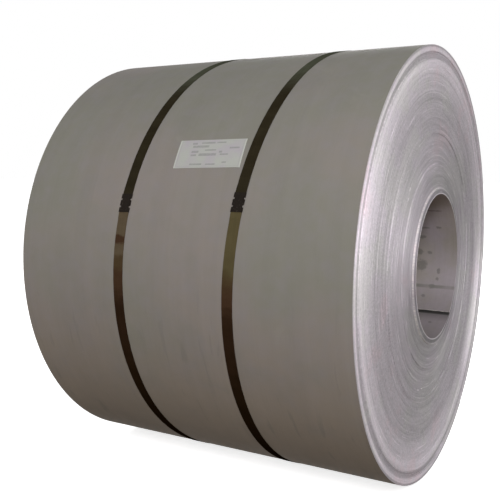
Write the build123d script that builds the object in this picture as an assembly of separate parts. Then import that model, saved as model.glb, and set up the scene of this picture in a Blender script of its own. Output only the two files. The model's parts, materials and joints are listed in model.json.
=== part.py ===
from build123d import *
import os
from math import cos, degrees, radians, sin, tan

# Steel coil: one roll of wound strip, lying on its side, with two steel straps round it,
# a crimped seal on each strap and a paper label on its skin.
# Millimetres. X runs along the coil's axis to the end that the photo shows, +Z is up, the floor is Z = 0.
# Angles round the coil start at the horizontal on the -Y side, and grow upwards.

# Roll of strip
BORE_DIAMETER = 508.0
COIL_DIAMETER = 1510.0
STRIP_WIDTH = 1219.0
STRIP_GAUGE = 3.0

# Groups of turns that wandered in the winding: they stand proud at +X, and are set in as far at -X.
# Each has its radial build and its shift where it starts and ends, from the bore outwards.
# The turns near the bore have worked out of line, and the innermost few most of all
BORE_GROUPS = [
    (20.0, 20.0, 19.0),
    (72.0, 12.5, 8.0),
    (12.0, 9.0, 8.5),
    (104.0, 6.0, 0.0),
    (16.0, 3.0, 2.0),
]
# and from the skin inwards, with level turns between the two
SKIN_GROUPS = [
    (22.0, 4.5, 4.5),
    (21.0, 1.0, 1.0),
    (22.0, 4.0, 3.5),
    (50.0, 2.0, 0.0),
]

# Ends of the strip: each is a step of one gauge along the roll, past which the surface eases back.
# The strip is wound so that the bore's step faces down to the floor, and the skin's faces up at the back
HEAD_END_ANGLE = 229.5
HEAD_EASE_ARC = 95.0
TAIL_END_ANGLE = 235.0
TAIL_EASE_ARC = 190.0

# Straps
STRAP_WIDTH = 37.0
STRAP_THICKNESS = 0.9
STRAP_CLEARANCE = 0.3
# Where each strap's plane crosses the axis, and how far it is turned about Z and leant about Y, in degrees
STRAP_1_STATION = -124.5
STRAP_1_TURN = -4.5
STRAP_1_LEAN = 1.35
STRAP_2_STATION = 273.0
STRAP_2_TURN = -3.7
STRAP_2_LEAN = 2.9

# Seals
SEAL_1_ANGLE = 18.0
SEAL_2_ANGLE = 19.0
SEAL_LENGTH = 60.0
SEAL_THICKNESS = 1.0
SEAL_CLEARANCE = 0.3
LAP_TAIL = 22.0
NOTCH_SPACING = 24.0
NOTCH_WIDTH = 7.0
NOTCH_DEPTH = 5.0

# Label
LABEL_LENGTH = 240.0
LABEL_HEIGHT = 100.0
LABEL_THICKNESS = 0.3
LABEL_CLEARANCE = 0.3
LABEL_GAP = 16.5
LABEL_ANGLE = 31.0
LABEL_TILT = 1.0

# Cutters run past what they cut by this much
OVERRUN = 5.0

BORE_RADIUS = BORE_DIAMETER / 2
COIL_RADIUS = COIL_DIAMETER / 2
STRAP_SEAT = COIL_RADIUS + STRAP_CLEARANCE
STRAP_TOP = STRAP_SEAT + STRAP_THICKNESS
LAP_TOP = STRAP_TOP + STRAP_THICKNESS
AXIS_HEIGHT = STRAP_TOP
LARGEST_SHIFT = max(max(start, end) for build, start, end in BORE_GROUPS + SKIN_GROUPS)
STRAP_1 = (STRAP_1_STATION, STRAP_1_TURN, STRAP_1_LEAN, SEAL_1_ANGLE)
STRAP_2 = (STRAP_2_STATION, STRAP_2_TURN, STRAP_2_LEAN, SEAL_2_ANGLE)


def around(angle, radius, x=0.0):
    """Point at an angle and radius round the coil's axis, which is the X axis until the roll is placed."""
    return Vector(x, -radius * cos(radians(angle)), radius * sin(radians(angle)))


def standing_at(angle, x, radius):
    """Place on the roll whose own Z points straight out from the axis."""
    return Rot(90 - angle, 0, 0) * Pos(x, 0, radius)


def arc_degrees(length, radius):
    """Angle that an arc of this length takes at this radius."""
    return degrees(length / radius)


def place(shape):
    """Lift the coil's axis to its height, and centre the whole roll over the origin."""
    return Pos(-LARGEST_SHIFT / 2, 0, AXIS_HEIGHT) * shape


def turn_groups():
    """Inner and outer radius of each group of turns, and its shift at each, from the bore to the skin."""
    inside = []
    radius = BORE_RADIUS
    for build, start, end in BORE_GROUPS:
        inside.append((radius, radius + build, start, end))
        radius += build
    outside = []
    outer = COIL_RADIUS
    for build, start, end in SKIN_GROUPS:
        outside.append((outer - build, outer, end, start))
        outer -= build
    return inside + [(radius, outer, 0.0, 0.0)] + outside[::-1]


def end_outline(side):
    """Outline of one end, from the bore to the skin, as points of X and radius."""
    points = []
    for inner, outer, start, end in turn_groups():
        for radius, shift in ((inner, start), (outer, end)):
            point = (side * STRIP_WIDTH / 2 + shift, radius)
            if not points or points[-1] != point:
                points.append(point)
    return points


def strip_end_cut(angle, radius, depth, arc):
    """Wedge along the whole roll: a step of this depth at the angle, eased back to the surface by the arc."""
    sweep = arc_degrees(arc, radius)
    foot = around(angle, radius + depth)
    middle = around(angle + sweep / 2, radius + depth / 2)
    tip = around(angle + sweep, radius)
    past_tip = around(angle + sweep, radius - depth)
    past_middle = around(angle + sweep / 2, radius - depth)
    past_foot = around(angle, radius - depth)
    edges = [
        ThreePointArc(foot, middle, tip),
        Line(tip, past_tip),
        ThreePointArc(past_tip, past_middle, past_foot),
        Line(past_foot, foot),
    ]
    length = STRIP_WIDTH + 2 * (LARGEST_SHIFT + OVERRUN)
    return Pos(-length / 2, 0, 0) * extrude(make_face(edges), amount=length, dir=(1, 0, 0))


def strip_coil():
    """The roll, turned from its outline, with the steps of the strip's head end and tail end."""
    outline = end_outline(1) + end_outline(-1)[::-1]
    roll = revolve(make_face(Polyline(*outline, close=True)), axis=Axis.X)
    roll -= strip_end_cut(HEAD_END_ANGLE, BORE_RADIUS, STRIP_GAUGE, HEAD_EASE_ARC)
    roll -= strip_end_cut(TAIL_END_ANGLE, COIL_RADIUS, -STRIP_GAUGE, -TAIL_EASE_ARC)
    return roll


def curved_plate(x, width, angle, arc_length, inner, outer):
    """Plate bent round the coil, centred on a station and an angle, between two radii."""
    sweep = arc_degrees(arc_length, inner)
    section = Pos(x, (inner + outer) / 2) * Rectangle(width, outer - inner)
    plate = revolve(section, axis=Axis.X, revolution_arc=sweep)
    return Rot(180 - angle - sweep / 2, 0, 0) * plate


def lane(strap, width):
    """Slab that a strap runs in: the layers of strap and seal are what lies in it."""
    station, turn, lean = strap[:3]
    span = 2 * COIL_DIAMETER
    across = width * cos(radians(turn)) * cos(radians(lean))
    return Pos(station, 0, 0) * Rot(0, lean, turn) * Box(across, span, span)


def lane_station(strap, angle):
    """Where the middle of a strap lies along the axis, at an angle round the coil."""
    station, turn, lean = strap[:3]
    point = around(angle, COIL_RADIUS)
    return station - point.Y * tan(radians(turn)) + point.Z * tan(radians(lean)) / cos(radians(turn))


def layer(strap, width, arc_length, inner, outer):
    """Length of bent sheet in a strap's lane, centred on the seal's angle, between two radii."""
    seal_angle = strap[3]
    station = lane_station(strap, seal_angle)
    return curved_plate(station, 2 * width, seal_angle, arc_length, inner, outer) & lane(strap, width)


def notch_cutters(strap):
    """Crimps that bite into both edges of a seal and of the strap in it."""
    cutters = []
    seal_angle = strap[3]
    height = LAP_TOP + SEAL_THICKNESS + OVERRUN - COIL_RADIUS
    for along in (-NOTCH_SPACING / 2, NOTCH_SPACING / 2):
        angle = seal_angle + arc_degrees(along, LAP_TOP)
        for side in (-1, 1):
            edge = lane_station(strap, angle) + side * (STRAP_WIDTH / 2 + SEAL_CLEARANCE + SEAL_THICKNESS)
            notch = extrude(Ellipse(NOTCH_DEPTH, NOTCH_WIDTH / 2), amount=height, both=True)
            cutters.append(standing_at(angle, edge, LAP_TOP) * notch)
    return cutters


def notched(shape, strap):
    """Shape with the crimps cut out of it."""
    for cutter in notch_cutters(strap):
        shape -= cutter
    return shape


def strap_band(strap):
    """Band round the roll, whose free end laps over its start under the seal."""
    section = Rectangle(STRIP_WIDTH, STRAP_THICKNESS)
    sleeve = revolve(Pos(0, STRAP_SEAT + STRAP_THICKNESS / 2) * section, axis=Axis.X)
    ring = sleeve & lane(strap, STRAP_WIDTH)
    lap = layer(strap, STRAP_WIDTH, SEAL_LENGTH + 2 * LAP_TAIL, STRAP_TOP, LAP_TOP)
    return notched(ring + lap, strap)


def seal(strap):
    """Sleeve over both layers of the strap, with its sides folded down beside them."""
    inside = LAP_TOP + SEAL_CLEARANCE
    room_width = STRAP_WIDTH + 2 * SEAL_CLEARANCE
    shell = layer(strap, room_width + 2 * SEAL_THICKNESS, SEAL_LENGTH, STRAP_SEAT, inside + SEAL_THICKNESS)
    room = layer(strap, room_width, SEAL_LENGTH + 2 * OVERRUN, STRAP_SEAT - OVERRUN, inside)
    return notched(shell - room, strap)


def label_sheet():
    """Sheet of paper on the skin beside the second strap, cut square and laid on a little askew."""
    edge = lane_station(STRAP_2, LABEL_ANGLE) - STRAP_WIDTH / 2
    station = edge - LABEL_GAP - LABEL_LENGTH / 2
    inner = COIL_RADIUS + LABEL_CLEARANCE
    skin = curved_plate(station, 2 * LABEL_LENGTH, LABEL_ANGLE, 2 * LABEL_HEIGHT, inner, inner + LABEL_THICKNESS)
    sheet = Rot(0, 0, LABEL_TILT) * Box(LABEL_LENGTH, LABEL_HEIGHT, 2 * LABEL_HEIGHT)
    return skin & (standing_at(LABEL_ANGLE, station, inner) * sheet)


def main():
    pieces = {
        "strip_coil": strip_coil(),
        "strap_1": strap_band(STRAP_1),
        "strap_2": strap_band(STRAP_2),
        "seal_1": seal(STRAP_1),
        "seal_2": seal(STRAP_2),
        "label_sheet": label_sheet(),
    }
    os.makedirs("parts", exist_ok=True)
    for name, shape in pieces.items():
        export_step(place(shape), f"parts/{name}.step")


main()
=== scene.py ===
import json
import random
from functools import reduce
from math import atan2, cos, hypot, pi, radians, sin, tau

import bmesh
import bpy
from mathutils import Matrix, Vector

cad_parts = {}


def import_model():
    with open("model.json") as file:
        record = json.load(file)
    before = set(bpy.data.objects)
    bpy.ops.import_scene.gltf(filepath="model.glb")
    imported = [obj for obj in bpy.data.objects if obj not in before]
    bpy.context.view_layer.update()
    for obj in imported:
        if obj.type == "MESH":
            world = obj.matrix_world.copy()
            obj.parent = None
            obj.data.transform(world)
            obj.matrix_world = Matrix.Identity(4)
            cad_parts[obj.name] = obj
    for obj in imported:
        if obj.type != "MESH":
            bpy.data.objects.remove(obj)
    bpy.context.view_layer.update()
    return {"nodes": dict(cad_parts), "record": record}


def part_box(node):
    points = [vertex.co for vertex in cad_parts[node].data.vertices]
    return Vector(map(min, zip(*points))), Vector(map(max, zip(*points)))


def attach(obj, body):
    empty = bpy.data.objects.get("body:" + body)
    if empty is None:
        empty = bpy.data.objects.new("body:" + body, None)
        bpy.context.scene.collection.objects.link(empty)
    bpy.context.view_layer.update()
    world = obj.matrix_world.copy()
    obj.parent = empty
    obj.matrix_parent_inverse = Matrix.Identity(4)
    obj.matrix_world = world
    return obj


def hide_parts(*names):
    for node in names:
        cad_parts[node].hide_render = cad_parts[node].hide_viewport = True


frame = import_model()

# Steel coil on its side: roll of wound strip, two straps with crimped seals, a paper label.
# Metres. X runs along the axis to the end that the photo shows, the floor is Z = 0.
# Angles round the coil are in degrees. They start at the horizontal on the -Y side, and grow upwards.

# The roll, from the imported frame
MOUNTS = {mount["name"]: mount for mount in frame["record"]["mounts"]}
BORE_RADIUS = MOUNTS["bore"]["dims"]["r_mm"] / 1000
STRIP_WIDTH = MOUNTS["bore"]["dims"]["length_mm"] / 1000
AXIS_HEIGHT = MOUNTS["bore"]["pos_m"][2]
ROLL_LOW, ROLL_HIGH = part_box("strip_coil")
COIL_RADIUS = (ROLL_HIGH.z - ROLL_LOW.z) / 2
STRIP_GAUGE = 0.003

# Groups of turns, as in the solid: radial build, and shift along X where the group starts and ends.
# First those from the bore outwards, then those from the skin inwards
BORE_GROUPS = [
    (0.020, 0.0200, 0.0190),
    (0.072, 0.0125, 0.0080),
    (0.012, 0.0090, 0.0085),
    (0.104, 0.0060, 0.0000),
    (0.016, 0.0030, 0.0020),
]
SKIN_GROUPS = [
    (0.022, 0.0045, 0.0045),
    (0.021, 0.0010, 0.0010),
    (0.022, 0.0040, 0.0035),
    (0.050, 0.0020, 0.0000),
]
FAR_PLANE = ROLL_LOW.x
NEAR_PLANE = FAR_PLANE + STRIP_WIDTH
NEAR_RIM = NEAR_PLANE + SKIN_GROUPS[0][1]

# Steps of the strip's two ends, and the angles over which the surface eases back
HEAD_END_ANGLE = 229.5
HEAD_EASE_ANGLE = 21.4
TAIL_END_ANGLE = 235.0
TAIL_EASE_ANGLE = -14.4

# Fine relief of the ends: bundles of turns, each a little out of line with its neighbours
MOST_TURNS = 4
MOST_TURNS_IF_THIN = 2
THIN_GROUP = MOST_TURNS * 2 * STRIP_GAUGE
WANDER = 0.0007
WANDER_SEED = 7
GROOVE_WIDTH = 0.0006
GROOVE_DEPTHS = (0.0001, 0.0005)

# Mesh of the roll. The two columns of a step stand at one angle, and are told apart by a nudge in degrees
ROUND_STEPS = 200
STEP_NUDGE = 1e-6
MERGE_DISTANCE = 1e-6
ROLL_SHARP_ANGLE = 25

# Camera: its place from the middle of the near rim, its aim and its lens
CAMERA_FROM_RIM = Vector((0.7362, -2.5762, 0.3577))
CAMERA_AZIMUTH = radians(29.95)
CAMERA_ELEVATION = radians(6.61)
PICTURE_WIDTH = 500
FOCAL_PIXELS = 744.9
SENSOR_WIDTH = 36.0

# Sockets of the mix node that belong to its colours: amount, first, second and result
MIX_SOCKETS = (0, 6, 7)
MIX_RESULT = 2

# Tints, each a factor on red, green and blue
WARM = (1.05, 1.0, 0.90)
OLIVE = (1.03, 1.0, 0.85)
PINK = (1.10, 0.985, 0.89)
LILAC = (1.03, 0.96, 1.03)
COOL = (1.02, 0.98, 1.0)
PAPER = (0.98, 1.0, 0.92)
ROSE = (1.07, 0.94, 1.01)
EARTH = (1.14, 0.975, 0.78)
WHITE = (1.0, 1.0, 1.0, 1.0)


def grey(level, tint=(1.0, 1.0, 1.0)):
    """Grey of this level, tinted."""
    return (level * tint[0], level * tint[1], level * tint[2], 1.0)


def around(angle, radius, x=0.0):
    """Point at an angle and a radius round the coil's axis."""
    turn = radians(angle)
    return Vector((x, -radius * cos(turn), AXIS_HEIGHT + radius * sin(turn)))


class Tree:
    """Short way to write a material's nodes, with the coordinates that they start from."""

    def __init__(self, name):
        self.material = bpy.data.materials.new(name)
        self.material.use_nodes = True
        self.tree = self.material.node_tree
        self.tree.nodes.clear()
        self.output = self.node("ShaderNodeOutputMaterial")
        self.shader = self.node("ShaderNodeBsdfPrincipled")
        self.tree.links.new(self.shader.outputs[0], self.output.inputs["Surface"])
        coords = self.node("ShaderNodeTexCoord")
        self.uv = coords.outputs["UV"]
        self.place = coords.outputs["Object"]
        split = self.node("ShaderNodeSeparateXYZ", Vector=self.place)
        self.x = split.outputs["X"]
        self.y = split.outputs["Y"]
        self.z = self.subtract(split.outputs["Z"], AXIS_HEIGHT)

    def feed(self, socket, value):
        """Link a socket, or set its value."""
        if isinstance(value, bpy.types.NodeSocket):
            self.tree.links.new(value, socket)
        else:
            socket.default_value = value

    def feed_by_name(self, node, values):
        """Feed a node's sockets, whose names are written with an underscore for a space."""
        for name, value in values.items():
            self.feed(node.inputs[name.replace("_", " ")], value)

    def node(self, kind, **values):
        made = self.tree.nodes.new(kind)
        self.feed_by_name(made, values)
        return made

    def finished(self, **values):
        """The material, with these values on its shader."""
        self.feed_by_name(self.shader, values)
        return self.material

    def math(self, operation, *values):
        made = self.tree.nodes.new("ShaderNodeMath")
        made.operation = operation
        for socket, value in zip(made.inputs, values):
            self.feed(socket, value)
        return made.outputs[0]

    def add(self, *values):
        return reduce(lambda first, second: self.math("ADD", first, second), values)

    def multiply(self, *values):
        return reduce(lambda first, second: self.math("MULTIPLY", first, second), values)

    def largest(self, *values):
        return reduce(lambda first, second: self.math("MAXIMUM", first, second), values)

    def subtract(self, first, second):
        return self.math("SUBTRACT", first, second)

    def divide(self, first, second):
        return self.math("DIVIDE", first, second)

    def above(self, value, limit):
        """1 where a value is above a limit, 0 elsewhere."""
        return self.math("GREATER_THAN", value, limit)

    def squares(self, first, second):
        """Sum of two squares."""
        return self.add(self.multiply(first, first), self.multiply(second, second))

    def scaled(self, value, factor, add=0.0):
        return self.math("MULTIPLY_ADD", value, factor, add)

    def swing(self, pattern, width):
        """Pattern of 0 to 1 as a swing of this width about zero."""
        return self.scaled(pattern, width, -width / 2)

    def steps(self, value, low, high, start=0.0, end=1.0, smooth=True):
        """From start to end, as a value goes from low to high. Low may be the larger of the two."""
        values = dict(Value=value, From_Min=low, From_Max=high, To_Min=start, To_Max=end)
        made = self.node("ShaderNodeMapRange", **values)
        made.interpolation_type = "SMOOTHSTEP" if smooth else "LINEAR"
        return made.outputs["Result"]

    def near(self, value, middle, half_width, edge):
        """1 where a value is within a half width of the middle, 0 outside, with soft edges."""
        away = self.math("ABSOLUTE", self.subtract(value, middle))
        return self.steps(away, half_width + edge, half_width)

    def piecewise(self, value, points):
        """Straight lines through points of value and level."""
        low = points[0][0]
        high = points[-1][0]
        made = self.node("ShaderNodeFloatCurve", Value=self.steps(value, low, high, smooth=False))
        curve = made.mapping.curves[0]
        while len(curve.points) < len(points):
            curve.points.new(0.5, 0.5)
        for point, (place, level) in zip(curve.points, points):
            point.location = ((place - low) / (high - low), level)
            point.handle_type = "VECTOR"
        made.mapping.update()
        return made.outputs[0]

    def vector(self, x, y, z):
        made = self.tree.nodes.new("ShaderNodeCombineXYZ")
        for socket, value in zip(made.inputs, (x, y, z)):
            self.feed(socket, value)
        return made.outputs[0]

    def noise(self, vector, scale=1.0, detail=3.0, roughness=0.55, distortion=0.0):
        values = dict(Vector=vector, Scale=scale, Detail=detail, Roughness=roughness, Distortion=distortion)
        return self.node("ShaderNodeTexNoise", **values).outputs["Fac"]

    def mix(self, amount, first, second, blend="MIX"):
        made = self.tree.nodes.new("ShaderNodeMix")
        made.data_type = "RGBA"
        made.blend_type = blend
        for socket, value in zip(MIX_SOCKETS, (amount, first, second)):
            self.feed(made.inputs[socket], value)
        return made.outputs[MIX_RESULT]

    def layered(self, colour, layers):
        """Colour with layers on it: pattern, where it starts, where it is full, share, colour."""
        for pattern, start, full, share, other in layers:
            colour = self.mix(self.steps(pattern, start, full, end=share), colour, other)
        return colour

    def shaded(self, colour, level):
        """Colour times a level."""
        return self.mix(1.0, colour, self.vector(level, level, level), "MULTIPLY")

    def bump(self, height, strength, distance):
        made = self.node("ShaderNodeBump", Strength=strength, Distance=distance, Height=height)
        return made.outputs[0]

    def radius(self):
        return self.math("SQRT", self.squares(self.y, self.z))

    def angle(self):
        """Angle round the coil, from -180 to 180."""
        turn = self.math("ARCTAN2", self.z, self.scaled(self.y, -1.0))
        return self.scaled(turn, 180 / pi)

    def round_the_coil(self, along, across):
        """Coordinates that follow the strip: along it round the coil, and across its width, seamless."""
        radius = self.radius()
        y = self.divide(self.y, radius)
        z = self.divide(self.z, radius)
        return self.vector(self.scaled(self.x, across), self.scaled(y, along), self.scaled(z, along))


def skin_material():
    """Dull grey mill finish: olive above, pinker and dustier below, with lines, smudges and low streaks."""
    tree = Tree("strip_skin")
    clouds = tree.noise(tree.place, scale=1.9, roughness=0.5)
    blotches = tree.noise(tree.place, scale=7.0, roughness=0.6, distortion=0.4)
    mottle = tree.noise(tree.place, scale=21.0, detail=4.0, roughness=0.6)
    lines = tree.noise(tree.round_the_coil(2.0, 420.0), detail=2.0)
    bands = tree.noise(tree.round_the_coil(0.6, 22.0))
    smudges = tree.noise(tree.round_the_coil(5.0, 6.0), detail=5.0, roughness=0.65, distortion=1.2)
    lower = tree.add(clouds, tree.scaled(tree.z, -0.16))
    colour = tree.mix(tree.steps(lower, 0.38, 0.62), grey(0.176, OLIVE), grey(0.186, PINK))
    dusty = tree.add(tree.z, tree.swing(blotches, 0.4))
    colour = tree.layered(colour, [
        (blotches, 0.45, 0.75, 0.50, grey(0.170, WARM)),
        (mottle, 0.35, 0.75, 0.35, grey(0.182, LILAC)),
        (dusty, -0.05, -0.60, 0.85, grey(0.196, EARTH)),
    ])
    shade = tree.add(tree.scaled(lines, 0.07, 0.92), tree.scaled(bands, 0.14, -0.03))
    colour = tree.shaded(colour, tree.add(shade, tree.swing(mottle, 0.10)))
    colour = tree.layered(colour, [(smudges, 0.62, 0.74, 0.40, grey(0.205, WARM))])
    streaks = tree.steps(tree.noise(tree.round_the_coil(3.5, 34.0), distortion=0.5), 0.58, 0.68)
    low_down = tree.steps(tree.z, 0.10, -0.35, start=0.05, end=0.28)
    patchy = tree.steps(tree.noise(tree.place, scale=2.6, detail=1.0), 0.42, 0.56)
    colour = tree.mix(tree.multiply(streaks, low_down, patchy), colour, grey(0.105, WARM))
    return tree.finished(
        Base_Color=colour,
        Specular_IOR_Level=0.12,
        Roughness=tree.scaled(blotches, 0.14, 0.58),
        Normal=tree.bump(lines, strength=0.25, distance=0.0002),
    )


def turn_groups():
    """Inner and outer radius of each group of turns, with its shift at each."""
    inside = []
    radius = BORE_RADIUS
    for build, start, end in BORE_GROUPS:
        inside.append((radius, radius + build, start, end))
        radius += build
    outside = []
    outer = COIL_RADIUS
    for build, start, end in SKIN_GROUPS:
        outside.append((outer - build, outer, end, start))
        outer -= build
    return inside + [(radius, outer, 0.0, 0.0)] + outside[::-1]


# Tone of the wound ends by radius: calm, dull and bright zones of turn edges. The bright lines at the bore's
# edge and at the foot of the innermost ring are painted highlight
RING_TONES = [
    (0.254, 0.72), (0.256, 0.64), (0.258, 0.29), (0.269, 0.27), (0.271, 0.46), (0.275, 0.50), (0.278, 0.40),
    (0.310, 0.39), (0.355, 0.45), (0.585, 0.48), (0.620, 0.58), (0.660, 0.62), (0.690, 0.74), (0.704, 0.70),
    (0.716, 0.48), (0.728, 0.48), (0.736, 0.72), (0.745, 0.74), (0.750, 0.50), (0.755, 0.48),
]
# The zones waver, but not beside the bore or the rim: where that starts at either, and where it is full
WAVER_OFF_BORE = (0.28, 0.36)
WAVER_OFF_RIM = (0.745, 0.69)
# Bands of the wound ends: radius of the middle, half width and soft edge
SPECKLED_BAND = (0.590, 0.10, 0.16)
# The crescent band is a painted sheen, low on the back of the near end
SHEEN_CRESCENT_BAND = (0.668, 0.012, 0.045)
WORN_EDGE = (0.2745, 0.0008, 0.0010)
WORN_ARC = (0.386, 0.0008, 0.0012)
# Steps from one group of turns near the bore to the next, past the innermost group. Each gets a thin
# line of painted highlight, of this half width and soft edge
HIGHLIGHTED_STEPS = [inner for inner, outer, start, end in turn_groups()[2:1 + len(BORE_GROUPS)]]
STEP_HIGHLIGHT = (0.0012, 0.0015)
# Painted shade on the outer edge at the back of the rim, the +Y side: where it starts and is full, by radius
PAINTED_RIM_SHADE = (0.7490, 0.7505)
# Bright nicks in the near end: radius and angle of each, and half size along the turns and across them
END_NICKS = [(0.392, 39.0), (0.399, 44.0), (0.430, -76.0), (0.436, -71.0), (0.685, -42.0), (0.512, -12.0)]
NICK_HALF_LENGTH = 0.009
NICK_HALF_WIDTH = 0.0018
# Where a nick starts and is full, as the square of the distance from its middle in half sizes
NICK_EDGE = (1.4, 0.5)


def nick_pattern(tree, radius):
    """Bright ovals on the near end, each lying along its turn."""
    nicks = 0.0
    for nick_radius, nick_angle in END_NICKS:
        spot = around(nick_angle, nick_radius) - Vector((0.0, 0.0, AXIS_HEIGHT))
        along = tree.subtract(tree.multiply(tree.y, spot.z), tree.multiply(tree.z, spot.y))
        along = tree.divide(along, nick_radius * NICK_HALF_LENGTH)
        across = tree.divide(tree.subtract(radius, nick_radius), NICK_HALF_WIDTH)
        same_side = tree.add(tree.multiply(tree.y, spot.y), tree.multiply(tree.z, spot.z))
        oval = tree.steps(tree.squares(along, across), *NICK_EDGE)
        nicks = tree.largest(nicks, tree.multiply(oval, tree.above(same_side, 0.0)))
    return tree.multiply(nicks, tree.above(tree.x, 0.0))


def turns_material():
    """Edges of the wound strip: rings of differing brightness, arcs, specks, nicks and worn places, with
    painted sheen, highlights and shade.
    """
    tree = Tree("strip_turn_edges")
    radius = tree.radius()
    y = tree.divide(tree.y, radius)
    z = tree.divide(tree.z, radius)
    end = tree.scaled(tree.x, 3.0)

    def ring_noise(across, along, detail=3.0, roughness=0.55, out=radius):
        """Noise drawn out along the turns, and unlike at the two ends of the roll."""
        outward = tree.add(tree.scaled(out, across), end)
        place = tree.vector(outward, tree.scaled(y, along), tree.scaled(z, along))
        return tree.noise(place, detail=detail, roughness=roughness)

    waver = tree.swing(ring_noise(6.0, 1.3, detail=1.0), 0.036)
    inside = tree.multiply(tree.steps(radius, *WAVER_OFF_BORE), tree.steps(radius, *WAVER_OFF_RIM))
    tone = tree.piecewise(tree.add(radius, tree.multiply(waver, inside)), RING_TONES)
    wavy = tree.add(radius, tree.swing(ring_noise(18.0, 16.0), 0.007))
    turns = ring_noise(300.0, 0.7, detail=1.0)
    rings = ring_noise(110.0, 2.2, out=wavy)
    zones = ring_noise(24.0, 1.8)
    arcs = tree.steps(ring_noise(170.0, 3.2, roughness=0.6, out=wavy), 0.59, 0.73)
    grain = ring_noise(420.0, 46.0, roughness=0.75)
    speckle = tree.swing(ring_noise(115.0, 85.0, detail=2.0, roughness=0.8), 1.0)
    speckle = tree.multiply(speckle, tree.near(radius, *SPECKLED_BAND))
    # Painted highlight: thin lines along the steps near the bore
    step_highlights = 0.0
    for step in HIGHLIGHTED_STEPS:
        step_highlights = tree.largest(step_highlights, tree.near(radius, step, *STEP_HIGHLIGHT))
    step_highlights = tree.multiply(step_highlights, tree.steps(ring_noise(9.0, 5.0), 0.42, 0.62))
    # Painted sheen: a bright crescent low on the back of the near end
    sheen_crescent = tree.near(radius, *SHEEN_CRESCENT_BAND)
    sheen_crescent = tree.multiply(sheen_crescent, tree.steps(y, 0.55, 0.95), tree.steps(z, 0.20, -0.25))
    ragged = tree.add(radius, tree.swing(ring_noise(260.0, 30.0, detail=4.0, roughness=0.8), 0.008))
    dots = tree.steps(ring_noise(300.0, 55.0, detail=2.0, roughness=0.7), 0.46, 0.60)
    worn_edge = tree.multiply(tree.near(ragged, *WORN_EDGE), tree.scaled(dots, 0.75, 0.25))
    top_of_near_end = tree.multiply(tree.steps(z, 0.90, 0.98), tree.steps(tree.x, 0.0, 0.1))
    worn_arc = tree.multiply(tree.near(ragged, *WORN_ARC), dots, top_of_near_end)
    worn = tree.largest(worn_edge, worn_arc)

    # Painted sheen: the near end is painted lighter towards the front and the top, duller towards the back
    painted_sheen_falloff = tree.steps(y, 0.1, 0.9, start=1.06, end=0.86)
    level = tree.multiply(tone, tree.add(painted_sheen_falloff, tree.scaled(z, 0.07)))
    for pattern, width in ((turns, 0.14), (rings, 0.26), (zones, 0.18), (grain, 0.20)):
        level = tree.add(level, tree.swing(pattern, width))
    for pattern, amount in (
        (arcs, 0.19),
        (speckle, 0.42),
        (step_highlights, 0.10),
        (sheen_crescent, 0.22),
        (nick_pattern(tree, radius), 0.35),
        (worn, 0.15),
    ):
        level = tree.add(level, tree.scaled(pattern, amount))
    # Painted shade on the rim's outer edge at the back
    rim_shade = tree.multiply(tree.steps(radius, *PAINTED_RIM_SHADE), tree.steps(y, 0.35, 0.75))
    level = tree.multiply(level, tree.scaled(rim_shade, -0.6, 1.0))

    clouds = tree.noise(tree.place, scale=4.4, detail=4.0, roughness=0.65)
    tint = tree.layered(grey(1.0, COOL), [
        (clouds, 0.38, 0.50, 1.0, grey(1.0, LILAC)),
        (clouds, 0.52, 0.64, 1.0, grey(1.0, ROSE)),
    ])
    tint = tree.mix(tree.multiply(worn, 0.5), tint, grey(1.0, WARM))
    round_the_axis = tree.node("ShaderNodeTangent")
    round_the_axis.direction_type = "RADIAL"
    round_the_axis.axis = "X"
    ribs = tree.math("SINE", tree.scaled(radius, tau / STRIP_GAUGE))
    relief = tree.add(tree.scaled(ribs, 0.5), tree.scaled(turns, 1.6), tree.scaled(grain, 0.8))
    return tree.finished(
        Base_Color=tree.shaded(tint, level),
        Metallic=0.5,
        Specular_IOR_Level=0.1,
        Anisotropic=0.5,
        Anisotropic_Rotation=0.25,
        Tangent=round_the_axis.outputs[0],
        Roughness=tree.scaled(rings, 0.20, 0.58),
        Normal=tree.bump(relief, strength=1.0, distance=0.0012),
    )


# Stains in the bore: distance in from the near rim, angle, and half size along the bore and round it
BORE_STAINS = [
    (0.051, 152.7, 0.010, 0.006), (0.101, 153.5, 0.016, 0.005), (0.120, 162.3, 0.018, 0.007),
    (0.090, 176.5, 0.009, 0.006), (0.129, 176.0, 0.014, 0.012), (0.120, 187.5, 0.020, 0.022),
    (0.053, 192.0, 0.007, 0.010), (0.055, 199.0, 0.006, 0.006), (0.072, 206.0, 0.012, 0.009),
    (0.099, 215.4, 0.008, 0.006), (0.043, 243.0, 0.008, 0.005), (0.060, 134.0, 0.030, 0.004),
]
# Where a stain starts and is full, as the square of the distance from its middle in half sizes,
# and how far raggedness swings that
STAIN_EDGE = (1.5, 0.3)
STAIN_RAGGEDNESS = 4.0
# Crease along the bore: angle of its middle, half width and soft edge
CREASE = (206.0, 0.8, 1.2)
# Strip's free end: painted shadow and painted shade of the gap past it, and painted highlight on its edge, as
# distances round the bore.
# The margin takes the face of the step in with what is past it
END_SHADOW = (0.060, 0.0)
END_GAP_SHADE = (0.018, 0.009)
END_LIP_HIGHLIGHT = (-0.0030, -0.0015)
END_MARGIN = 0.0002


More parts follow.
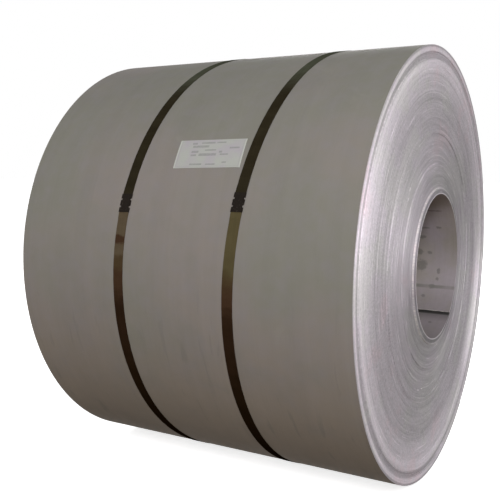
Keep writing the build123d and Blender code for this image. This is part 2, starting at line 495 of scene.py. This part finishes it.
def bore_material():
    """Inside of the roll: grey, stained, creased; painted shade below, painted light above, painted shade and
    highlight at the strip's end.
    """
    tree = Tree("strip_bore")
    turn = tree.math("MODULO", tree.add(tree.angle(), 360.0), 360.0)
    arc = tree.scaled(turn, BORE_RADIUS * pi / 180)
    inset = tree.subtract(NEAR_RIM, tree.x)
    clouds = tree.noise(tree.place, scale=6.0, detail=4.0, roughness=0.6)
    fine = tree.noise(tree.place, scale=60.0, detail=4.0, roughness=0.65)
    lines = tree.noise(tree.round_the_coil(1.5, 160.0), detail=2.0)
    colour = tree.mix(tree.steps(clouds, 0.35, 0.7), grey(0.245, PINK), grey(0.275, ROSE))
    shade = tree.add(tree.scaled(lines, 0.12, 0.88), tree.scaled(fine, 0.16, -0.06))
    # Painted shade low in the bore, painted light high in it
    painted_shade_below = tree.steps(tree.z, -0.22, -0.06, start=0.86)
    painted_light_above = tree.steps(tree.z, 0.06, 0.22, start=1.0, end=1.4)
    colour = tree.shaded(colour, tree.multiply(shade, painted_shade_below, painted_light_above))

    ragged = tree.noise(tree.place, scale=110.0, detail=5.0, roughness=0.7)
    ragged = tree.swing(ragged, STAIN_RAGGEDNESS)
    for place, angle, half_along, half_round in BORE_STAINS:
        along = tree.divide(tree.subtract(inset, place), half_along)
        round_it = tree.divide(tree.subtract(arc, radians(angle) * BORE_RADIUS), half_round)
        away = tree.add(tree.squares(along, round_it), ragged)
        colour = tree.layered(colour, [(away, *STAIN_EDGE, 0.6, grey(0.10, WARM))])

    crease = tree.near(turn, *CREASE)
    uneven = tree.steps(tree.noise(tree.place, scale=14.0), 0.3, 0.6, start=0.4, end=0.85)
    colour = tree.mix(tree.multiply(crease, uneven), colour, grey(0.14, WARM))

    past_end = tree.subtract(arc, radians(HEAD_END_ANGLE) * BORE_RADIUS)
    below = tree.above(past_end, -END_MARGIN)
    # Painted shadow past the strip's free end, and painted shade in the gap under it
    shadow = tree.steps(past_end, *END_SHADOW, end=0.55)
    gap_shade = tree.steps(past_end, *END_GAP_SHADE, end=0.95)
    colour = tree.mix(tree.multiply(below, tree.largest(shadow, gap_shade)), colour, grey(0.012, WARM))
    # Painted highlight along the free end's edge, broken up by noise
    lip_highlight = tree.multiply(tree.steps(past_end, *END_LIP_HIGHLIGHT), tree.subtract(1.0, below))
    worn = tree.noise(tree.round_the_coil(1.0, 60.0), detail=4.0)
    worn = tree.steps(worn, 0.40, 0.60, start=0.1, end=0.75)
    colour = tree.mix(tree.multiply(lip_highlight, worn), colour, grey(0.55, WARM))
    dent = tree.subtract(tree.scaled(lines, 0.1), crease)
    return tree.finished(
        Base_Color=colour,
        Metallic=0.2,
        Roughness=tree.scaled(clouds, 0.2, 0.4),
        Normal=tree.bump(dent, strength=0.5, distance=0.0012),
    )


# Tones of the straps, each from its darkest to its lightest
STRAP_TONES = {
    "low": ((0.009, 0.005, 0.002, 1.0), (0.020, 0.011, 0.005, 1.0)),
    "dark": ((0.015, 0.008, 0.004, 1.0), (0.030, 0.016, 0.009, 1.0)),
    "brown": ((0.036, 0.019, 0.011, 1.0), (0.054, 0.031, 0.018, 1.0)),
    "drab": ((0.044, 0.030, 0.014, 1.0), (0.066, 0.044, 0.024, 1.0)),
    "black": ((0.012, 0.009, 0.005, 1.0), (0.030, 0.025, 0.014, 1.0)),
    "pale": ((0.046, 0.049, 0.033, 1.0), (0.077, 0.081, 0.057, 1.0)),
}
# Dust below the seals, partly painted reflection, by strap, from its darkest to its lightest
STRAP_DUST_AND_SHEEN = {
    "strap_1": ((0.063, 0.047, 0.028, 1.0), (0.094, 0.072, 0.046, 1.0)),
    "strap_2": ((0.058, 0.046, 0.022, 1.0), (0.092, 0.077, 0.038, 1.0)),
}
# Angles over which each strap turns to a tone, from below up to its seal
STRAP_SPANS = {
    "strap_1": {"brown": (-7.5, -0.5), "drab": (1.0, 3.0), "dust_and_sheen": (4.5, 6.5)},
    "strap_2": {"brown": (-9.0, -2.0), "drab": (-2.5, 1.0), "dust_and_sheen": (1.0, 3.5)},
}
DARK_SPAN = (-34.0, -12.0)
# Brown patch on each strap: angle of its middle, then half width and soft edge for both
PATCH_ANGLE = {"strap_1": 9.0, "strap_2": -4.0}
PATCH_WIDTHS = (0.7, 0.8)
# Both straps are black from the seal up, then pale, and black again behind, which is told by Y
BLACK_SPAN = (16.5, 18.0)
PALE_SPAN = (48.0, 64.0)
BEHIND = (-0.10, 0.10)
FRAYED_DEGREES = 5.0


def strap_material(strap):
    """Blackened steel strapping: dusty and partly painted reflection below the seal, then brown, then
    near-black, streaked along it.
    """
    tree = Tree(strap + "_black")
    angle = tree.angle()
    lines = tree.noise(tree.round_the_coil(3.0, 700.0))
    patches = tree.noise(tree.round_the_coil(22.0, 12.0), detail=4.0, roughness=0.6)
    frayed = tree.add(angle, tree.swing(patches, FRAYED_DEGREES))
    tones = dict(STRAP_TONES, dust_and_sheen=STRAP_DUST_AND_SHEEN[strap])
    tones = {name: tree.mix(patches, darkest, lightest) for name, (darkest, lightest) in tones.items()}
    colour = tree.mix(tree.steps(frayed, *DARK_SPAN), tones["low"], tones["dark"])
    for name, span in STRAP_SPANS[strap].items():
        colour = tree.mix(tree.steps(frayed, *span), colour, tones[name])
    colour = tree.mix(tree.near(frayed, PATCH_ANGLE[strap], *PATCH_WIDTHS), colour, tones["brown"])
    for value, span, name in (
        (angle, BLACK_SPAN, "black"),
        (frayed, PALE_SPAN, "pale"),
        (tree.y, BEHIND, "black"),
    ):
        colour = tree.mix(tree.steps(value, *span), colour, tones[name])
    return tree.finished(
        Base_Color=tree.shaded(colour, tree.scaled(lines, 0.5, 0.75)),
        Specular_IOR_Level=0.0,
        Roughness=tree.scaled(patches, 0.25, 0.55),
        Normal=tree.bump(lines, strength=0.3, distance=0.0003),
    )


# Tones of the seals, the last where they are rubbed
SEAL_DARKEST = (0.007, 0.005, 0.004, 1.0)
SEAL_LIGHTEST = (0.016, 0.012, 0.009, 1.0)
SEAL_RUBBED = (0.05, 0.042, 0.034, 1.0)


def seal_material():
    """Blackened seal, lighter in small rubbed spots."""
    tree = Tree("seal_black")
    patches = tree.noise(tree.place, scale=90.0, detail=4.0, roughness=0.6)
    spots = tree.noise(tree.place, scale=210.0, detail=2.0)
    colour = tree.mix(patches, SEAL_DARKEST, SEAL_LIGHTEST)
    return tree.finished(
        Base_Color=tree.layered(colour, [(spots, 0.60, 0.72, 0.6, SEAL_RUBBED)]),
        Specular_IOR_Level=0.05,
        Roughness=tree.scaled(patches, 0.3, 0.50),
        Normal=tree.bump(patches, strength=0.3, distance=0.0005),
    )


# Label: its mesh, and the angle past which an edge of that is sharp
LABEL_COLUMNS = 60
LABEL_ROWS = 26
LABEL_THICKNESS = 0.0003
LABEL_SHARP_ANGLE = 40
# What stands for its print, as boxes of U along the label and V up it, from low to high
LABEL_RULES = [
    (0.03, 0.97, 0.940, 0.948), (0.03, 0.97, 0.052, 0.060),
    (0.03, 0.036, 0.06, 0.94), (0.964, 0.97, 0.06, 0.94),
]
LABEL_BARS = [
    (0.20, 0.27, 0.84, 0.90), (0.34, 0.54, 0.86, 0.91), (0.57, 0.70, 0.87, 0.91),
    (0.22, 0.46, 0.72, 0.79), (0.42, 0.58, 0.60, 0.64), (0.22, 0.32, 0.53, 0.60), (0.22, 0.30, 0.42, 0.47),
    (0.34, 0.60, 0.42, 0.50), (0.64, 0.68, 0.52, 0.58), (0.78, 0.92, 0.66, 0.71), (0.66, 0.78, 0.44, 0.48),
    (0.24, 0.42, 0.10, 0.15), (0.48, 0.62, 0.10, 0.14), (0.72, 0.78, 0.16, 0.20),
]
PRINT_SOFT_U = 0.004
PRINT_SOFT_V = 0.008


def label_material():
    """Off-white paper with a ruled frame, plain grey bars in place of print, and painted highlight along its
    two ends.
    """
    tree = Tree("label_paper")
    split = tree.node("ShaderNodeSeparateXYZ", Vector=tree.uv)
    u = split.outputs["X"]
    v = split.outputs["Y"]
    fibres = tree.noise(tree.place, scale=160.0, detail=4.0)
    stains = tree.noise(tree.place, scale=22.0)
    colour = tree.mix(tree.steps(stains, 0.35, 0.7), grey(0.335, PAPER), grey(0.315, LILAC))
    colour = tree.mix(tree.scaled(fibres, 0.25), colour, grey(0.28, PAPER))
    # Painted highlight along the label's two ends
    off_middle = tree.math("ABSOLUTE", tree.subtract(u, 0.5))
    colour = tree.layered(colour, [(off_middle, 0.478, 0.490, 0.8, grey(0.42, PAPER))])
    worn = tree.steps(fibres, 0.2, 0.6, start=0.5)
    for boxes, level, strength in ((LABEL_RULES, 0.24, 0.35), (LABEL_BARS, 0.15, 0.6)):
        for low_u, high_u, low_v, high_v in boxes:
            box = tree.multiply(
                tree.steps(u, low_u - PRINT_SOFT_U, low_u),
                tree.steps(u, high_u + PRINT_SOFT_U, high_u),
                tree.steps(v, low_v - PRINT_SOFT_V, low_v),
                tree.steps(v, high_v + PRINT_SOFT_V, high_v),
                worn,
            )
            colour = tree.mix(tree.scaled(box, strength), colour, grey(level))
    return tree.finished(
        Base_Color=colour,
        Roughness=0.6,
        Normal=tree.bump(fibres, strength=0.2, distance=0.0002),
    )


def bundles():
    """Rings of one to a few turns, from the bore outwards: inner and outer radius, shift, groove depth."""
    chance = random.Random(WANDER_SEED)
    groups = turn_groups()
    furthest = max(max(start, end) for inner, outer, start, end in groups)
    rings = []
    for inner, outer, start, end in groups:
        most = MOST_TURNS_IF_THIN if outer - inner < THIN_GROUP else MOST_TURNS
        # The furthest group wanders back instead of out, so that the roll keeps its length
        offset = WANDER if start == furthest else 0.0
        radius = inner
        while outer - radius > STRIP_GAUGE / 2:
            build = STRIP_GAUGE * chance.randint(1, most)
            top = outer if outer - radius - build < STRIP_GAUGE else radius + build
            middle = (radius + top) / 2
            shift = start + (end - start) * (middle - inner) / (outer - inner)
            shift += chance.uniform(0.0, WANDER) - offset
            rings.append((radius, top, shift, chance.uniform(*GROOVE_DEPTHS)))
            radius = top
    return rings


def end_points(rings, plane, outward):
    """Outline of one end as points of X and radius, with a shallow groove between neighbouring bundles."""
    points = []
    for number, (inner, outer, shift, groove) in enumerate(rings):
        x = plane + shift
        if number:
            points.append((x - outward * groove, inner))
            points.append((x, inner + GROOVE_WIDTH))
        else:
            points.append((x, inner))
        points.append((x, outer))
    return points


def step_depth(turn, start, sweep):
    """Depth below the surface, at an angle, of the step of one of the strip's ends."""
    part = (turn - start) / sweep
    return STRIP_GAUGE * (1 - part) if 0 <= part <= 1 else 0.0


def columns():
    """Angle of each column of the mesh, and its side of a step: a step is two columns at one angle."""
    spacing = 360 / ROUND_STEPS
    angles = [(360 * number / ROUND_STEPS, 0) for number in range(ROUND_STEPS)]
    for start in (HEAD_END_ANGLE, TAIL_END_ANGLE):
        angles = [entry for entry in angles if abs(entry[0] - start) > spacing / 4]
        angles += [(start, -1), (start, 1)]
    return sorted(angles)


def roll_walls(outline, column_count):
    """Faces of the roll's mesh, and the material slot of each: bore, edges of the turns or skin."""
    bore_slot, edge_slot, skin_slot = range(3)
    rows = len(outline)
    faces = []
    slots = []
    for column in range(column_count):
        here = column * rows
        beside = (column + 1) % column_count * rows
        for row in range(rows):
            above = (row + 1) % rows
            faces.append((here + row, here + above, beside + above, beside + row))
            radii = {outline[row][1], outline[above][1]}
            if radii == {COIL_RADIUS}:
                slots.append(skin_slot)
            elif radii == {BORE_RADIUS}:
                slots.append(bore_slot)
            else:
                slots.append(edge_slot)
    return faces, slots


def wound_strip():
    """The roll as one closed mesh: bore, near end, skin and far end, with both steps of the strip."""
    rings = bundles()
    outline = end_points(rings, NEAR_PLANE, 1) + end_points(rings, FAR_PLANE, -1)[::-1]
    angles = columns()
    verts = []
    for angle, side in angles:
        nudged = angle + side * STEP_NUDGE
        head = step_depth(nudged, HEAD_END_ANGLE, HEAD_EASE_ANGLE)
        tail = step_depth(nudged, TAIL_END_ANGLE, TAIL_EASE_ANGLE)
        for x, radius in outline:
            if radius == BORE_RADIUS:
                radius += head
            elif radius == COIL_RADIUS:
                radius -= tail
            verts.append(around(angle, radius, x))
    faces, slots = roll_walls(outline, len(angles))
    mesh = bpy.data.meshes.new("coil_wound_strip")
    mesh.from_pydata(verts, [], faces)
    for polygon, slot in zip(mesh.polygons, slots):
        polygon.material_index = slot
    work = bmesh.new()
    work.from_mesh(mesh)
    bmesh.ops.remove_doubles(work, verts=work.verts, dist=MERGE_DISTANCE)
    bmesh.ops.dissolve_degenerate(work, edges=work.edges, dist=MERGE_DISTANCE)
    bmesh.ops.recalc_face_normals(work, faces=work.faces)
    work.to_mesh(mesh)
    work.free()
    mesh.shade_smooth()
    mesh.set_sharp_from_angle(angle=radians(ROLL_SHARP_ANGLE))
    for material in (bore_material(), turns_material(), skin_material()):
        mesh.materials.append(material)
    piece = bpy.data.objects.new("coil_wound_strip", mesh)
    bpy.context.scene.collection.objects.link(piece)
    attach(piece, "root")
    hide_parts("strip_coil")


def flat_corners(places):
    """Low left, low right, top left and top right of a flat sheet, from points of distance up and along."""
    return (
        min(places, key=lambda place: place[0] + place[1]),
        min(places, key=lambda place: place[0] - place[1]),
        max(places, key=lambda place: place[0] - place[1]),
        max(places, key=lambda place: place[0] + place[1]),
    )


def between(first, second, share):
    """Point this share of the way from the first to the second."""
    return [a + (b - a) * share for a, b in zip(first, second)]


def label_sheet():
    """Sheet of paper bent to the skin where the solid's sheet lies, with coordinates for its print."""
    verts = [vertex.co for vertex in frame["nodes"]["label_sheet"].data.vertices]
    middle = sum(verts, Vector()) / len(verts)
    middle_turn = atan2(middle.z - AXIS_HEIGHT, -middle.y)
    inner = min(hypot(vert.y, vert.z - AXIS_HEIGHT) for vert in verts)
    # The solid's vertices on the sheet laid flat: distance up it and along it from its middle
    flat = []
    for vert in verts:
        turn = atan2(vert.z - AXIS_HEIGHT, -vert.y)
        flat.append(((turn - middle_turn) * inner, vert.x - middle.x))
    low_left, low_right, top_left, top_right = flat_corners(flat)
    work = bmesh.new()
    layers = []
    for radius in (inner, inner + LABEL_THICKNESS):
        grid = []
        for row in range(LABEL_ROWS + 1):
            v = row / LABEL_ROWS
            line = []
            for column in range(LABEL_COLUMNS + 1):
                u = column / LABEL_COLUMNS
                up, along = between(between(low_left, low_right, u), between(top_left, top_right, u), v)
                turn = middle_turn + up / inner
                place = (middle.x + along, -radius * cos(turn), AXIS_HEIGHT + radius * sin(turn))
                line.append((work.verts.new(place), (u, v)))
            grid.append(line)
        layers.append(grid)
    under, over = layers
    uv_layer = work.loops.layers.uv.new("print")

    def face(*entries):
        made = work.faces.new([entry[0] for entry in entries])
        made.smooth = True
        for loop, entry in zip(made.loops, entries):
            loop[uv_layer].uv = entry[1]

    for row in range(LABEL_ROWS):
        for column in range(LABEL_COLUMNS):
            beside = column + 1
            face(over[row][column], over[row][beside], over[row + 1][beside], over[row + 1][column])
            face(under[row][column], under[row + 1][column], under[row + 1][beside], under[row][beside])
    rim = [(0, column) for column in range(LABEL_COLUMNS)]
    rim += [(row, LABEL_COLUMNS) for row in range(LABEL_ROWS)]
    rim += [(LABEL_ROWS, column) for column in range(LABEL_COLUMNS, 0, -1)]
    rim += [(row, 0) for row in range(LABEL_ROWS, 0, -1)]
    for (row, column), (next_row, next_column) in zip(rim, rim[1:] + rim[:1]):
        face(under[row][column], under[next_row][next_column], over[next_row][next_column], over[row][column])
    bmesh.ops.recalc_face_normals(work, faces=work.faces)
    mesh = bpy.data.meshes.new("coil_label")
    work.to_mesh(mesh)
    work.free()
    mesh.set_sharp_from_angle(angle=radians(LABEL_SHARP_ANGLE))
    mesh.materials.append(label_material())
    piece = bpy.data.objects.new("coil_label", mesh)
    bpy.context.scene.collection.objects.link(piece)
    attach(piece, "root")
    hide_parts("label_sheet")


def finish_cad_node(name, material):
    """Give a node of the solid its material."""
    node = frame["nodes"][name]
    node.data.materials.clear()
    node.data.materials.append(material)


# Studio. The camera sees the floor glow, more brightly far from the coil
FLOOR_HALF_WIDTH = 40.0
FLOOR_BOUNCE = (0.19, 0.13, 0.08, 1.0)
FLOOR_IN_GLOSS = 0.8
FLOOR_LEVEL = 0.9
FLOOR_ROUGHNESS = 0.9
GLOW_DISTANCES = (2.0, 6.0)
GLOW_NEAR = 0.76
GLOW_FAR = 1.0
LIGHT_AT_HORIZON = 0.45
LIGHT_OVERHEAD = 0.05
# Lamps, all aimed at the middle of the coil: name, place, side and power
LAMPS = [
    ("main", (3.4, -5.3, 3.8), 2.0, 380),
    ("fill", (-3.4, -5.4, 2.4), 3.0, 60),
    ("back", (-1.8, 5.6, 2.4), 3.0, 240),
]


def floor():
    """Pale floor: white to the camera, with the coil's shadow, and darker to the light that it sends up."""
    tree = Tree("floor_pale")
    material = tree.finished(Base_Color=grey(FLOOR_LEVEL), Roughness=FLOOR_ROUGHNESS)
    away = tree.math("SQRT", tree.squares(tree.x, tree.y))
    strength = tree.steps(away, *GLOW_DISTANCES, start=GLOW_NEAR, end=GLOW_FAR)
    glow = tree.node("ShaderNodeEmission", Color=WHITE, Strength=strength)
    seen = tree.node("ShaderNodeAddShader")
    tree.feed(seen.inputs[0], tree.shader.outputs[0])
    tree.feed(seen.inputs[1], glow.outputs[0])
    mirrored = tree.node("ShaderNodeEmission", Color=WHITE, Strength=FLOOR_IN_GLOSS)
    ray = tree.node("ShaderNodeLightPath")
    direct = tree.largest(ray.outputs["Is Camera Ray"], ray.outputs["Is Transmission Ray"])
    shader = tree.node("ShaderNodeBsdfDiffuse", Color=FLOOR_BOUNCE).outputs[0]
    for amount, other in ((ray.outputs["Is Glossy Ray"], mirrored), (direct, seen)):
        blend = tree.node("ShaderNodeMixShader", Fac=amount)
        tree.feed(blend.inputs[1], shader)
        tree.feed(blend.inputs[2], other.outputs[0])
        shader = blend.outputs[0]
    tree.feed(tree.output.inputs["Surface"], shader)
    half = FLOOR_HALF_WIDTH
    corners = [(-half, -half, 0), (half, -half, 0), (half, half, 0), (-half, half, 0)]
    mesh = bpy.data.meshes.new("floor")
    mesh.from_pydata(corners, [], [(0, 1, 2, 3)])
    mesh.materials.append(material)
    piece = bpy.data.objects.new("floor", mesh)
    bpy.context.scene.collection.objects.link(piece)


def world():
    """Soft light from all round, weaker overhead, seen as plain white."""
    made = bpy.data.worlds.new("studio")
    made.use_nodes = True
    nodes = made.node_tree.nodes
    links = made.node_tree.links
    background = nodes["Background"]
    background.inputs["Color"].default_value = WHITE
    direction = nodes.new("ShaderNodeSeparateXYZ")
    links.new(nodes.new("ShaderNodeTexCoord").outputs["Generated"], direction.inputs[0])
    soft = nodes.new("ShaderNodeMapRange")
    soft.inputs["To Min"].default_value = LIGHT_AT_HORIZON
    soft.inputs["To Max"].default_value = LIGHT_OVERHEAD
    links.new(direction.outputs["Z"], soft.inputs["Value"])
    ray = nodes.new("ShaderNodeLightPath")
    strength = soft.outputs["Result"]
    for kind in ("Is Camera Ray", "Is Transmission Ray", "Is Glossy Ray"):
        brightest = nodes.new("ShaderNodeMath")
        brightest.operation = "MAXIMUM"
        links.new(strength, brightest.inputs[0])
        links.new(ray.outputs[kind], brightest.inputs[1])
        strength = brightest.outputs[0]
    links.new(strength, background.inputs["Strength"])
    bpy.context.scene.world = made


def lamp(name, place, side, power):
    """Square lamp, aimed at the middle of the coil."""
    data = bpy.data.lights.new(name, "AREA")
    data.shape = "SQUARE"
    data.size = side
    data.energy = power
    made = bpy.data.objects.new(name, data)
    made.location = place
    aim = Vector((0.0, 0.0, AXIS_HEIGHT)) - Vector(place)
    made.rotation_euler = aim.to_track_quat("-Z", "Y").to_euler()
    bpy.context.scene.collection.objects.link(made)


def camera():
    """Camera of the photo."""
    data = bpy.data.cameras.new("camera")
    data.sensor_fit = "HORIZONTAL"
    data.sensor_width = SENSOR_WIDTH
    data.lens = FOCAL_PIXELS * SENSOR_WIDTH / PICTURE_WIDTH
    made = bpy.data.objects.new("camera", data)
    made.location = Vector((NEAR_RIM, 0.0, AXIS_HEIGHT)) + CAMERA_FROM_RIM
    made.rotation_euler = (pi / 2 - CAMERA_ELEVATION, 0.0, CAMERA_AZIMUTH)
    bpy.context.scene.collection.objects.link(made)
    bpy.context.scene.camera = made


wound_strip()
label_sheet()
for strap_name in ("strap_1", "strap_2"):
    finish_cad_node(strap_name, strap_material(strap_name))
seal_black = seal_material()
for seal_name in ("seal_1", "seal_2"):
    finish_cad_node(seal_name, seal_black)
floor()
world()
for lamp_settings in LAMPS:
    lamp(*lamp_settings)
camera()
bpy.context.scene.view_settings.view_transform = "Standard"
